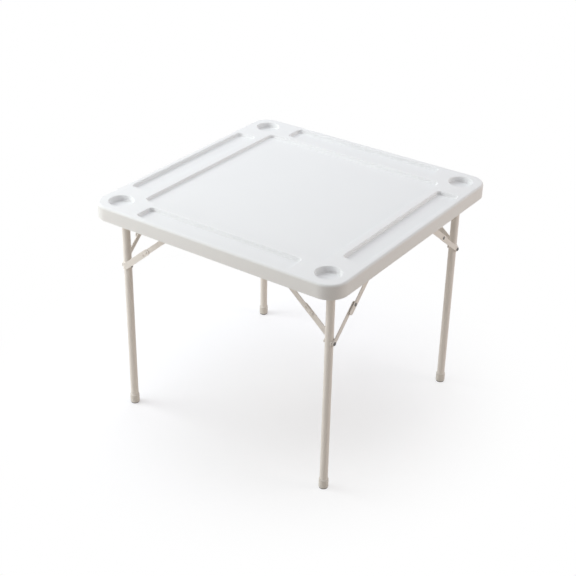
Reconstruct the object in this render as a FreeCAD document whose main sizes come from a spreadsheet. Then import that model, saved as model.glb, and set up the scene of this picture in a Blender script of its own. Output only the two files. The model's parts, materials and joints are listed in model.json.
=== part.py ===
import FreeCAD
import Part
import math
import os
import re

# Square folding game table: a moulded top with a recessed playing field, four
# side trays and four cup wells, on two hinged leg frames with folding braces.
# Millimetres, +Z up, origin on the floor under the middle of the top.
# The front frame stands at -Y and folds towards +Y; the rear frame folds under it.

SIZES = (
    ("top_side", 880, "side of the square top"),
    ("top_height", 735, "floor to the top face"),
    ("apron_height", 45, "depth of the rim round the top"),
    ("corner_radius", 60, "plan rounding of the top's corners"),
    ("edge_radius", 8, "rounding of the top's outer edge"),
    ("lip_radius", 2.5, "rounding of the lips of the recesses"),
    ("skin", 3, "wall of the moulding"),
    ("rib_wall", 2.5, "thickness of the ribs under the top"),
    ("rib_inset", 100, "edge of the top to the nearest rib"),
    ("rib_count", 9, "ribs each way"),
    ("cup_bore", 75, "diameter of a cup well"),
    ("cup_depth", 18, "depth of a cup well"),
    ("cup_inset", 68, "edge of the top to the middle of a cup well"),
    ("cup_floor_radius", 4, "rounding of a cup well's floor"),
    ("tray_inset", 20, "edge of the top to a side tray"),
    ("tray_width", 70, "width of a side tray"),
    ("tray_cup_gap", 62.5, "wall of a cup well to the end of a side tray"),
    ("tray_depth", 12, "depth of a side tray"),
    ("tray_corner", 12, "plan rounding of a side tray"),
    ("tray_floor_radius", 4, "rounding of a side tray's floor"),
    ("field_gap", 27, "side tray to the playing field"),
    ("field_depth", 10, "depth of the playing field"),
    ("field_corner", 15, "plan rounding of the playing field"),
    ("field_floor_radius", 4, "rounding of the playing field's floor"),
    ("boss_diameter", 11, "screw boss under the top"),
    ("rail_width", 20, "width of a steel rail"),
    ("rail_height", 14, "height of a steel rail"),
    ("rail_wall", 1.5, "wall of a steel rail"),
    ("rail_inset", 130, "edge of the top to the end of a steel rail"),
    ("rail_screw_inset", 20, "end of a rail to its screw"),
    ("screw_diameter", 4, "shank of a screw or lug rivet"),
    ("screw_head", 8, "diameter of a screw or rivet head"),
    ("screw_head_height", 2.2, "height of a screw or rivet head"),
    ("screw_length", 21, "shank of a rail screw"),
    ("seat_play", 0.05, "clearance round fixed pins and screws"),
    ("leg_inset_x", 67, "side of the top to the middle of a leg"),
    ("leg_inset_y", 83, "front or rear of the top to the middle of a leg"),
    ("leg_diameter", 25, "outside of a leg tube"),
    ("leg_wall", 1.2, "wall of a leg tube"),
    ("leg_head", 13, "hinge line to the upper end of a leg"),
    ("bar_diameter", 20, "outside of a crossbar"),
    ("bar_wall", 1.5, "wall of a crossbar"),
    ("bar_proud", 1, "crossbar end past its leg"),
    ("front_hinge_drop", 45, "top face to the front hinge line"),
    ("rear_hinge_drop", 76, "top face to the rear hinge line"),
    ("hinge_play", 0.25, "running clearance of a crossbar in its bearing"),
    ("bearing_inset", 65, "end of a rail to the middle of a hinge bearing"),
    ("bearing_width", 18, "length of a hinge bearing along its bar"),
    ("bearing_wall", 4, "wall of a hinge bearing round its bar"),
    ("flange_length", 66, "length of a bearing's flange"),
    ("flange_wall", 3, "thickness of a bearing's flange"),
    ("flange_screw_pitch", 48, "distance between a flange's screws"),
    ("flange_screw_length", 10, "shank of a flange screw"),
    ("collar_drop", 226, "top face to the bolts through the legs"),
    ("saddle_play", 0.2, "clearance of a saddle round its leg"),
    ("saddle_wall", 2, "thickness of a saddle strap"),
    ("strap_width", 20, "width of a saddle strap"),
    ("strut_width", 16, "width of a strut"),
    ("strut_wall", 2.5, "thickness of a strut"),
    ("front_strut_reach", 210, "front leg to where its strut meets the crossbar"),
    ("rear_strut_reach", 182, "rear leg to where its strut meets the crossbar"),
    ("lap_start", 88, "leg's middle to the lap of strap and strut"),
    ("lap_length", 42, "length of the lap of strap and strut"),
    ("lap_rivet_pitch", 18, "distance between a lap's rivets"),
    ("bolt_diameter", 6, "bolt through a leg"),
    ("bolt_head", 11, "diameter of a bolt or pin head"),
    ("bolt_head_height", 3, "height of a bolt head"),
    ("nut_corners", 11.5, "nut across its corners"),
    ("nut_height", 4, "height of a nut"),
    ("nut_tail", 1, "bolt end past its nut"),
    ("brace_reach", 195, "hinge line to a brace's upper pivot"),
    ("lower_link_width", 16, "width of a lower brace link"),
    ("upper_link_width", 19, "width of an upper brace link"),
    ("link_wall", 2.5, "thickness of a brace link"),
    ("link_play", 0.5, "side clearance of a brace link"),
    ("pivot_play", 0.15, "running clearance of a link on its pivot"),
    ("stop_tab", 24, "upper link's end past the elbow"),
    ("pin_head_height", 2, "height of a pivot pin's or elbow rivet's head"),
    ("elbow_collar", 9, "diameter of an elbow rivet's collar"),
    ("lug_wall", 2.5, "thickness of a brace lug"),
    ("lug_width", 26, "width of a brace lug"),
    ("lug_rivet_pitch", 13, "distance between a lug's rivets"),
    ("cap_diameter", 30, "outside of a foot cap"),
    ("cap_height", 28, "height of a foot cap"),
    ("cap_floor", 5, "floor of a foot cap"),
    ("cap_groove_width", 2, "width of the groove round a foot cap"),
    ("cap_groove_depth", 0.8, "depth of the groove round a foot cap"),
    ("cap_groove_rise", 8, "foot of a cap to its groove"),
    ("cap_round", 2, "rounding of a foot cap's upper edge"),
    ("pad_height", 4, "height of a foot pad"),
    ("pad_diameter", 27, "diameter of a foot pad"),
)

doc = FreeCAD.newDocument("FoldingGameTable")
sheet = doc.addObject("Spreadsheet::Sheet", "Sizes")
S = {}
for row, (alias, number, meaning) in enumerate(SIZES, start=1):
    sheet.set("A%d" % row, meaning)
    sheet.set("B%d" % row, str(number))
    sheet.setAlias("B%d" % row, alias)
    S[alias] = float(number)
doc.recompute()

nodes = []


def bound(text):
    """Turn the plain names in an expression into cells of the sheet."""
    return re.sub(r"[a-z][a-z_]+", lambda word: "Sizes." + word.group(0)
                  if word.group(0) in S else word.group(0), text)


def place(obj, base, turn=None):
    """Put an object where its three expressions say, turned if asked."""
    if turn is not None:
        obj.Placement = FreeCAD.Placement(FreeCAD.Vector(0, 0, 0), turn)
    for axis, text in zip("xyz", base):
        obj.setExpression("Placement.Base." + axis, bound(text))
    return obj


def turned(axis, angle):
    return FreeCAD.Rotation(FreeCAD.Vector(*axis), angle)


ALONG = {"x": turned((0, 1, 0), 90), "y": turned((1, 0, 0), -90), "z": None}


def block(name, size, base):
    """A box: its three sizes and its lowest corner."""
    obj = doc.addObject("Part::Box", name)
    for prop, text in zip(("Length", "Width", "Height"), size):
        obj.setExpression(prop, bound(text))
    return place(obj, base)


def rod(name, diameter, length, base, along="z"):
    """A cylinder that starts at base and runs along one axis."""
    obj = doc.addObject("Part::Cylinder", name)
    obj.setExpression("Radius", bound("(%s)/2" % diameter))
    obj.setExpression("Height", bound(length))
    return place(obj, base, ALONG[along])


def fuse(name, parts):
    obj = doc.addObject("Part::MultiFuse", name)
    obj.Shapes = parts
    return obj


def cut(name, base, tools):
    obj = doc.addObject("Part::Cut", name)
    obj.Base = base
    obj.Tool = tools[0] if len(tools) == 1 else fuse(name + "_tools", tools)
    return obj


def common(name, first, second):
    obj = doc.addObject("Part::MultiCommon", name)
    obj.Shapes = [first, second]
    return obj


def rounded(name, base, pick):
    """Round the edges for which pick gives a radius."""
    doc.recompute()
    edges = []
    for number, edge in enumerate(base.Shape.Edges, start=1):
        radius = pick(edge)
        if radius:
            edges.append((number, radius, radius))
    obj = doc.addObject("Part::Fillet", name)
    obj.Base = base
    obj.Edges = edges
    return obj


def upright(edge):
    box = edge.BoundBox
    return box.XLength < 1e-6 and box.YLength < 1e-6


def level(edge, height):
    box = edge.BoundBox
    return abs(box.ZMin - height) < 1e-6 and abs(box.ZMax - height) < 1e-6


def group(name, parts):
    obj = doc.addObject("Part::Compound", name)
    obj.Links = parts
    return obj


def node(obj, label):
    obj.Label = label
    nodes.append(obj)
    return obj


def slab(name, half_x, half_y, middle, low, high, corner):
    """A level slab with rounded upright corners."""
    size = ("2*(%s)" % half_x, "2*(%s)" % half_y, "(%s)-(%s)" % (high, low))
    base = ("%s-(%s)" % (middle[0], half_x), "%s-(%s)" % (middle[1], half_y), low)
    body = block(name + "_block", size, base)
    return rounded(name, body, lambda edge: corner if upright(edge) else 0)


def strip(name, length, width, wall, holes, tail="0"):
    """A flat strip along +X with round ends, its thickness along +Y, drilled at holes."""
    whole = "%s+%s" % (length, tail)
    parts = [block(name + "_flat", (whole, wall, width), ("0", "0", "-(%s)/2" % width))]
    for end, spot in (("near", "0"), ("far", whole)):
        parts.append(rod(name + "_" + end, width, wall, (spot, "0", "0"), "y"))
    body = fuse(name + "_body", parts)
    drills = []
    for number, (spot, bore) in enumerate(holes):
        drills.append(rod("%s_drill_%d" % (name, number), bore, "3*(%s)" % wall,
                          (spot, "-(%s)" % wall, "0"), "y"))
    return cut(name, body, drills) if drills else body


# Levels and places that several pieces share.
SIDE = "top_side/2"
LEG_X = "(top_side/2-leg_inset_x)"
LEG_Y = "(top_side/2-leg_inset_y)"
BOLT_Z = "(top_height-collar_drop)"
SEAT_Z = "(top_height-tray_depth-skin)"
RAIL_Z = "(top_height-tray_depth-skin-rail_height)"
RING_IN = "(leg_diameter/2+saddle_play)"
RING_OUT = "(leg_diameter/2+saddle_play+saddle_wall)"
# The brace's layers, counted outwards from the middle of the leg.
LOWER_IN = "(leg_diameter/2+saddle_play+saddle_wall+link_play)"
LOWER_OUT = "(%s+link_wall)" % LOWER_IN
HEAD_IN = "(%s+link_play)" % LOWER_OUT
UPPER_IN = "(%s+bolt_head_height+link_play)" % HEAD_IN
UPPER_OUT = "(%s+link_wall)" % UPPER_IN
LUG_IN = "(%s+link_play)" % UPPER_OUT
LUG_OUT = "(%s+lug_wall)" % LUG_IN
RAIL_X = "(%s+%s+rail_width/2)" % (LEG_X, LUG_OUT)
RAIL_END = "(top_side/2-rail_inset)"
RAIL_SCREW = "(%s-rail_screw_inset)" % RAIL_END
BEARING_X = "(%s-bearing_inset)" % RAIL_END
SCREW_HOLE = "(screw_diameter+2*seat_play)"
BOLT_HOLE = "(bolt_diameter+2*seat_play)"
PIVOT_HOLE = "(bolt_diameter+2*pivot_play)"
ENDS = (("left", -1), ("right", 1))
FRAMES = (("front", -1), ("rear", 1))
HINGE_Z = {"front": "(top_height-front_hinge_drop)", "rear": "(top_height-rear_hinge_drop)"}
ARM = {"front": "(collar_drop-front_hinge_drop)", "rear": "(collar_drop-rear_hinge_drop)"}
arm = {"front": S["collar_drop"] - S["front_hinge_drop"], "rear": S["collar_drop"] - S["rear_hinge_drop"]}
TURN_END = {-1: turned((0, 0, 1), 180), 1: turned((0, 0, 1), 0)}


def moulded_top():
    """The top: skin, rim, recess walls, ribs and screw bosses in one moulding."""
    face = "top_height"
    foot = "top_height-apron_height"
    middle = ("0", "0")
    outer = slab("top_outer", SIDE, SIDE, middle, foot, face, S["corner_radius"])
    inner = slab("top_inner", SIDE + "-skin", SIDE + "-skin", middle, foot, face + "-skin",
                 S["corner_radius"] - S["skin"])
    shell = cut("top_shell", outer, [inner])
    under = "top_height-skin/2"
    solids = [shell]
    wells = []
    tray_far = "(%s-tray_inset-tray_width/2)" % SIDE
    half_long = "(%s-cup_inset-cup_bore/2-tray_cup_gap)" % SIDE
    half_wide = "tray_width/2"
    trays = (("front_tray", half_long, half_wide, ("0", "-" + tray_far)),
             ("rear_tray", half_long, half_wide, ("0", tray_far)),
             ("left_tray", half_wide, half_long, ("-" + tray_far, "0")),
             ("right_tray", half_wide, half_long, (tray_far, "0")))
    for name, half_x, half_y, spot in trays:
        solids.append(slab(name + "_wall", half_x + "+skin", half_y + "+skin", spot, SEAT_Z, under,
                           S["tray_corner"] + S["skin"]))
        well = slab(name + "_well", half_x, half_y, spot, face + "-tray_depth", face, S["tray_corner"])
        floor = S["top_height"] - S["tray_depth"]
        wells.append(rounded(name, well, lambda edge: S["tray_floor_radius"] if level(edge, floor) else 0))
    cup_far = "(%s-cup_inset)" % SIDE
    for name, sign_x in ENDS:
        for frame, sign_y in FRAMES:
            spot = ("%d*%s" % (sign_x, cup_far), "%d*%s" % (sign_y, cup_far))
            cup = "%s_%s_cup" % (frame, name)
            solids.append(rod(cup + "_wall", "cup_bore+2*skin", "cup_depth+skin/2",
                              spot + (face + "-cup_depth-skin",)))
            well = rod(cup + "_well", "cup_bore", "cup_depth", spot + (face + "-cup_depth",))
            floor = S["top_height"] - S["cup_depth"]
            wells.append(rounded(cup, well, lambda edge: S["cup_floor_radius"] if level(edge, floor) else 0))
    half = "(%s-tray_inset-tray_width-field_gap)" % SIDE
    floor = face + "-field_depth"
    solids.append(slab("field_wall", half + "+skin", half + "+skin", middle, floor + "-skin", under,
                       S["field_corner"] + S["skin"]))
    well = slab("field_well", half, half, middle, floor, face, S["field_corner"])
    floor = S["top_height"] - S["field_depth"]
    wells.append(rounded("field", well, lambda edge: S["field_floor_radius"] if level(edge, floor) else 0))
    run = "top_side-skin"
    for number in range(int(S["rib_count"])):
        spot = "(%d/(rib_count-1)-0.5)*(top_side-2*rib_inset)-rib_wall/2" % number
        tall = "%s-%s" % (under, SEAT_Z)
        solids.append(block("rib_x_%d" % number, (run, "rib_wall", tall), ("-(%s)/2" % run, spot, SEAT_Z)))
        solids.append(block("rib_y_%d" % number, ("rib_wall", run, tall), (spot, "-(%s)/2" % run, SEAT_Z)))
    for number, spot in enumerate(screw_spots()):
        solids.append(rod("boss_%d" % number, "boss_diameter", "%s-%s" % (under, SEAT_Z), spot + (SEAT_Z,)))
        wells.append(rod("boss_hole_%d" % number, SCREW_HOLE,
                         "screw_length-rail_height+seat_play", spot + (SEAT_Z,)))
    body = cut("top_body", fuse("top_solid", solids), wells)
    face_z = S["top_height"]
    rim = S["top_side"] / 2 - S["corner_radius"]

    def lip(edge):
        if not level(edge, face_z):
            return 0
        box = edge.BoundBox
        reach = max(abs(box.XMin), abs(box.XMax), abs(box.YMin), abs(box.YMax))
        outside = abs(reach - S["top_side"] / 2) < 1e-3 and reach > rim
        return S["edge_radius"] if outside else S["lip_radius"]

    node(rounded("top", body, lip), "tabletop")


def screw_spots():
    """Where the rails are screwed to the top: two places on each of the four rails."""
    spots = []
    for sign in (-1, 1):
        for end in (-1, 1):
            spots.append(("%d*%s" % (end, RAIL_SCREW), "%d*%s" % (sign, LEG_Y)))
            spots.append(("%d*%s" % (sign, RAIL_X), "%d*%s" % (end, RAIL_SCREW)))
    return spots


def screw(name, spot, seat, length):
    """A pan-head screw driven upwards, its head under the level seat."""
    shank = rod(name + "_shank", "screw_diameter", length, spot + (seat,))
    head = rod(name + "_head", "screw_head", "screw_head_height", spot + (seat + "-screw_head_height",))
    return fuse(name, [shank, head])


def rail(name, along_x, spot, drills):
    """A hollow rectangular rail, drilled upwards at drills."""
    outer = ("2*" + RAIL_END, "rail_width")
    inner = ("2*" + RAIL_END, "rail_width-2*rail_wall")
    if not along_x:
        outer, inner = outer[::-1], inner[::-1]
    solids = []
    for part, size, rise, tall in (("outer", outer, "0", "rail_height"),
                                   ("inner", inner, "rail_wall", "rail_height-2*rail_wall")):
        base = ("%s-(%s)/2" % (spot[0], size[0]), "%s-(%s)/2" % (spot[1], size[1]), RAIL_Z + "+" + rise)
        solids.append(block("%s_%s" % (name, part), size + (tall,), base))
    tools = [solids[1]]
    for number, (place_x, place_y, tall) in enumerate(drills):
        tools.append(rod("%s_hole_%d" % (name, number), SCREW_HOLE, tall,
                         (place_x, place_y, RAIL_Z + "-rail_wall")))
    return cut(name, solids[0], tools)


def underframe():
    """Rails, hinge bearings, brace lugs and their fasteners, all fixed to the top."""
    through = "rail_height+2*rail_wall"
    wall_only = "2.5*rail_wall"
    for frame, sign in FRAMES:
        drills = []
        for end in (-1, 1):
            drills.append(("%d*%s" % (end, RAIL_SCREW), "%d*%s" % (sign, LEG_Y), through))
            for side in (-1, 1):
                drills.append(("%d*%s+%d*flange_screw_pitch/2" % (end, BEARING_X, side),
                               "%d*%s" % (sign, LEG_Y), wall_only))
        node(rail(frame + "_cross_rail", True, ("0", "%d*%s" % (sign, LEG_Y)), drills), frame + "_cross_rail")
    for name, sign in ENDS:
        drills = []
        for end in (-1, 1):
            drills.append(("%d*%s" % (sign, RAIL_X), "%d*%s" % (end, RAIL_SCREW), through))
        plain = rail(name + "_side_rail_plain", False, ("%d*%s" % (sign, RAIL_X), "0"), drills)
        holes = []
        for frame, sign_y in FRAMES:
            for number, spot in enumerate(lug_rivet_spots(sign_y)):
                web = "%d*(%s+%s)-1.5*rail_wall" % (sign, LEG_X, LUG_OUT)
                holes.append(rod("%s_side_rail_%s_hole_%d" % (name, frame, number), SCREW_HOLE,
                                 "3*rail_wall", (web,) + spot, "x"))
        node(cut(name + "_side_rail", plain, holes), name + "_side_rail")
    screws = []
    for number, spot in enumerate(screw_spots()):
        screws.append(screw("rail_screw_%d" % number, spot, RAIL_Z, "screw_length"))
    node(group("rail_screws", screws), "rail_screws")
    flange_screws = []
    for frame, sign_y in FRAMES:
        for name, sign_x in ENDS:
            label = "%s_%s_hinge_bearing" % (frame, name)
            node(bearing(label, frame, sign_x, sign_y), label)
            for side in (-1, 1):
                spot = ("%d*%s+%d*flange_screw_pitch/2" % (sign_x, BEARING_X, side),
                        "%d*%s" % (sign_y, LEG_Y))
                flange_screws.append(screw("%s_screw_%d" % (label, side + 1), spot, RAIL_Z + "-flange_wall",
                                           "flange_screw_length"))
    node(group("bearing_screws", flange_screws), "bearing_screws")


def bearing(label, frame, sign_x, sign_y):
    """A bracket under a cross rail that carries a crossbar in its bore."""
    hinge = HINGE_Z[frame]
    middle = "%d*%s" % (sign_x, BEARING_X)
    line = "%d*%s" % (sign_y, LEG_Y)
    outside = "(bar_diameter+2*hinge_play+2*bearing_wall)"
    start = "%s-bearing_width/2" % middle
    web = block(label + "_web", ("bearing_width", outside, "%s-%s" % (RAIL_Z, hinge)),
                (start, "%s-%s/2" % (line, outside), hinge))
    eye = rod(label + "_eye", outside, "bearing_width", (start, line, hinge), "x")
    flange = block(label + "_flange", ("flange_length", "rail_width", "flange_wall"),
                   ("%s-flange_length/2" % middle, "%s-rail_width/2" % line, RAIL_Z + "-flange_wall"))
    tools = [rod(label + "_bore", "bar_diameter+2*hinge_play", "2*bearing_width",
                 ("%s-bearing_width" % middle, line, hinge), "x")]
    for side in (-1, 1):
        tools.append(rod("%s_hole_%d" % (label, side + 1), SCREW_HOLE, "3*flange_wall",
                         ("%s+%d*flange_screw_pitch/2" % (middle, side), line, RAIL_Z + "-2*flange_wall")))
    return cut(label, fuse(label + "_body", [web, eye, flange]), tools)


def lug_rivet_spots(sign_y):
    """The two rivets of a brace lug on the web of a side rail."""
    line = "%d*(%s-brace_reach)" % (sign_y, LEG_Y)
    rise = RAIL_Z + "+rail_height/2"
    return [("%s-lug_rivet_pitch/2" % line, rise), ("%s+lug_rivet_pitch/2" % line, rise)]


def brace_lugs():
    """The plates on the side rails that carry the upper brace pivots, with rivets and pins."""
    rivets = []
    pins = []
    for frame, sign_y in FRAMES:
        hinge = HINGE_Z[frame]
        line = "%d*(%s-brace_reach)" % (sign_y, LEG_Y)
        for name, sign_x in ENDS:
            label = "%s_%s_brace_lug" % (frame, name)
            near = "%d*(%s+%s)" % (sign_x, LEG_X, LUG_IN if sign_x > 0 else LUG_OUT)
            plate = block(label + "_plate", ("lug_wall", "lug_width", "%s+rail_height-%s" % (RAIL_Z, hinge)),
                          (near, "%s-lug_width/2" % line, hinge))
            eye = rod(label + "_eye", "lug_width", "lug_wall", (near, line, hinge), "x")
            tools = [rod(label + "_pin_hole", BOLT_HOLE, "3*lug_wall",
                         (near + "-lug_wall", line, hinge), "x")]
            for number, spot in enumerate(lug_rivet_spots(sign_y)):
                tools.append(rod("%s_hole_%d" % (label, number), SCREW_HOLE, "3*lug_wall",
                                 (near + "-lug_wall",) + spot, "x"))
                shank = rod("%s_rivet_%d_shank" % (label, number), "screw_diameter", "lug_wall+2*rail_wall",
                            (LUG_IN, "0", "0"), "x")
                head = rod("%s_rivet_%d_head" % (label, number), "screw_head", "screw_head_height",
                           (LUG_IN + "-screw_head_height", "0", "0"), "x")
                rivet = fuse("%s_rivet_%d" % (label, number), [shank, head])
                rivets.append(place(rivet, ("%d*%s" % (sign_x, LEG_X),) + spot, TURN_END[sign_x]))
            node(cut(label, fuse(label + "_body", [plate, eye]), tools), label)
            start = UPPER_IN + "-link_play-pin_head_height"
            grip = "%s-(%s)" % (LUG_OUT, start)
            inner = rod(label + "_pin_inner", "bolt_head", "pin_head_height", (start, "0", "0"), "x")
            shank = rod(label + "_pin_shank", "bolt_diameter", grip, (start, "0", "0"), "x")
            outer = rod(label + "_pin_outer", "bolt_head", "pin_head_height", (LUG_OUT, "0", "0"), "x")
            pin = fuse(label + "_pin", [inner, shank, outer])
            pins.append(place(pin, ("%d*%s" % (sign_x, LEG_X), line, hinge), TURN_END[sign_x]))
    node(group("lug_rivets", rivets), "lug_rivets")
    node(group("brace_pivot_pins", pins), "brace_pivot_pins")


def leg_frame(frame, sign_y):
    """A crossbar with two legs, their saddles, struts, bolts, nuts and feet."""
    hinge = HINGE_Z[frame]
    line = "%d*%s" % (sign_y, LEG_Y)
    reach = "%s_strut_reach" % frame
    rise = math.degrees(math.atan2(arm[frame], S[reach]))
    slope = turned((0, 1, 0), -rise)
    span = "(2*%s+leg_diameter+2*bar_proud)" % LEG_X
    start = "-%s/2" % span
    bar = rod(frame + "_bar_outer", "bar_diameter", span, (start, line, hinge), "x")
    hollow = rod(frame + "_bar_inner", "bar_diameter-2*bar_wall", span, (start, line, hinge), "x")
    node(cut(frame + "_crossbar", bar, [hollow]), frame + "_crossbar")
    rivets, bolts, nuts, pads = [], [], [], []
    for name, sign_x in ENDS:
        label = "%s_%s" % (frame, name)
        spot = ("%d*%s" % (sign_x, LEG_X), line)
        foot = "pad_height+cap_floor"
        tall = "%s+leg_head-(%s)" % (hinge, foot)
        tube = rod(label + "_tube", "leg_diameter", tall, spot + (foot,))
        tools = [rod(label + "_tube_bore", "leg_diameter-2*leg_wall", tall, spot + (foot,)),
                 rod(label + "_bar_hole", "bar_diameter+2*seat_play", "2*leg_diameter",
                     (spot[0] + "-leg_diameter", line, hinge), "x"),
                 rod(label + "_bolt_hole", BOLT_HOLE, "2*leg_diameter",
                     (spot[0] + "-leg_diameter", line, BOLT_Z), "x")]
        node(cut(label + "_leg", tube, tools), label + "_leg")
        # Saddle and strut are drawn for the left leg, at its bolt, and turned half round for the right one.
        half_turn = TURN_END[-sign_x]
        at_bolt = spot + (BOLT_Z,)
        node(place(saddle(label, slope), at_bolt, half_turn), label + "_saddle_strap")
        node(place(strut(label, frame, slope), at_bolt, half_turn), label + "_strut")
        for number in (-1, 1):
            along = "(lap_start+lap_length/2+%d*lap_rivet_pitch/2)" % number
            shank = rod("%s_lap_%d_shank" % (label, number + 1), "screw_diameter",
                        "strut_wall+saddle_wall+2*screw_head_height", ("0", "-screw_head_height", "0"), "y")
            heads = []
            for side, low in (("in", "-screw_head_height"), ("out", "strut_wall+saddle_wall")):
                heads.append(rod("%s_lap_%d_%s" % (label, number + 1, side), "screw_head",
                                 "screw_head_height", ("0", low, "0"), "y"))
            rivet = fuse("%s_lap_rivet_%d" % (label, number + 1), [shank] + heads)
            place(rivet, ("%s*cos(%.9g)" % (along, rise), "-%s" % RING_OUT, "%s*sin(%.9g)" % (along, rise)))
            rivets.append(place(group("%s_lap_%d" % (label, number + 1), [rivet]), at_bolt, half_turn))
        tail = "(leg_diameter/2+nut_height+nut_tail)"
        shank = rod(label + "_bolt_shank", "bolt_diameter", "%s+%s" % (HEAD_IN, tail),
                    ("-" + tail, "0", "0"), "x")
        head = rod(label + "_bolt_head", "bolt_head", "bolt_head_height", (HEAD_IN, "0", "0"), "x")
        bolts.append(place(fuse(label + "_bolt", [shank, head]), at_bolt, TURN_END[sign_x]))
        nuts.append(place(nut(label + "_nut"), at_bolt, TURN_END[sign_x]))
        node(foot_cap(label, spot), label + "_foot_cap")
        pads.append(rod(label + "_pad", "pad_diameter", "pad_height", spot + ("0",)))
    node(group(frame + "_strut_rivets", rivets), frame + "_strut_rivets")
    node(group(frame + "_leg_bolts", bolts), frame + "_leg_bolts")
    node(group(frame + "_leg_nuts", nuts), frame + "_leg_nuts")
    node(group(frame + "_foot_pads", pads), frame + "_foot_pads")


def saddle(label, slope):
    """A strap bolted to the outside of a leg, bent round it and run up along the frame to the lap."""
    low = "-strap_width/2"
    outer = rod(label + "_ring_outer", "2*" + RING_OUT, "strap_width", ("0", "0", low))
    inner = rod(label + "_ring_inner", "2*" + RING_IN, "strap_width", ("0", "0", low))
    ring = cut(label + "_ring", outer, [inner])
    # The bend covers the quarter on the strut's side, and ends round the bolt on the other side.
    quarter = block(label + "_quarter", ("2*" + RING_OUT, "2*" + RING_OUT, "2*strap_width"),
                    ("-2*" + RING_OUT, "-2*" + RING_OUT, "-strap_width"))
    tab = rod(label + "_tab", "strap_width", "2*" + RING_OUT, ("-2*" + RING_OUT, "0", "0"), "x")
    bend = common(label + "_bend", ring, fuse(label + "_keep", [quarter, tab]))
    holes = []
    for number in (-1, 1):
        holes.append(("lap_start+lap_length/2+%d*lap_rivet_pitch/2" % number, SCREW_HOLE))
    strap = strip(label + "_strap", "lap_start+lap_length-strap_width/2", "strap_width", "saddle_wall", holes)
    place(strap, ("0", "-" + RING_OUT, "0"), slope)
    behind = block(label + "_behind", ("strap_width", "4*saddle_wall", "2*strap_width"),
                   ("-strap_width", "-%s-saddle_wall" % RING_OUT, "-strap_width"))
    flap = cut(label + "_flap", strap, [behind])
    drill = rod(label + "_saddle_drill", BOLT_HOLE, "2*" + RING_OUT, ("-2*" + RING_OUT, "0", "0"), "x")
    return cut(label + "_saddle", fuse(label + "_saddle_body", [bend, flap]), [drill])


def strut(label, frame, slope):
    """The upper half of a strut, riveted to the strap and welded to the crossbar through a seat."""
    reach = "%s_strut_reach" % frame
    rise = ARM[frame]
    whole = "sqrt(%s^2+%s^2)" % (reach, rise)
    begin = "(lap_start+strut_width/2)"
    holes = []
    for number in (-1, 1):
        holes.append(("lap_length/2-strut_width/2+%d*lap_rivet_pitch/2" % number, SCREW_HOLE))
    flat = strip(label + "_strut_flat", "%s-%s" % (whole, begin), "strut_width", "strut_wall", holes)
    angle = "atan2(%s;%s)" % (rise, reach)
    side = "-%s" % RING_IN
    place(flat, ("%s*cos(%s)" % (begin, angle), side, "%s*sin(%s)" % (begin, angle)), slope)
    seat = rod(label + "_strut_seat", "strut_width", RING_IN, (reach, side, rise), "y")
    bar = rod(label + "_strut_bar", "bar_diameter+2*seat_play", "4*strut_width",
              ("%s-2*strut_width" % reach, "0", rise), "x")
    return cut(label + "_strut_part", fuse(label + "_strut_body", [flat, seat]), [bar])


def nut(name):
    """A hexagon nut against the inner side of a leg."""
    body = doc.addObject("Part::Prism", name + "_hex")
    body.Polygon = 6
    body.setExpression("Circumradius", bound("nut_corners/2"))
    body.setExpression("Height", bound("nut_height"))
    place(body, ("-leg_diameter/2-nut_height", "0", "0"), ALONG["x"])
    hole = rod(name + "_hole", BOLT_HOLE, "3*nut_height",
               ("-leg_diameter/2-2*nut_height", "0", "0"), "x")
    return cut(name, body, [hole])


def foot_cap(label, spot):
    """A cap over the lower end of a leg, with a groove round it."""
    outer = rod(label + "_cap_outer", "cap_diameter", "cap_height", spot + ("pad_height",))
    at_floor = spot + ("pad_height+cap_floor",)
    at_groove = spot + ("pad_height+cap_groove_rise",)
    bore = rod(label + "_cap_bore", "leg_diameter+2*seat_play", "cap_height", at_floor)
    ring = rod(label + "_cap_ring", "2*cap_diameter", "cap_groove_width", at_groove)
    core = rod(label + "_cap_core", "cap_diameter-2*cap_groove_depth", "cap_groove_width", at_groove)
    groove = cut(label + "_cap_groove", ring, [core])
    body = cut(label + "_cap_body", outer, [bore, groove])
    rim = S["pad_height"] + S["cap_height"]
    wide = S["cap_diameter"] - 1e-3
    return rounded(label + "_cap", body,
                   lambda edge: S["cap_round"] if level(edge, rim) and edge.BoundBox.XLength > wide else 0)


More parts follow.
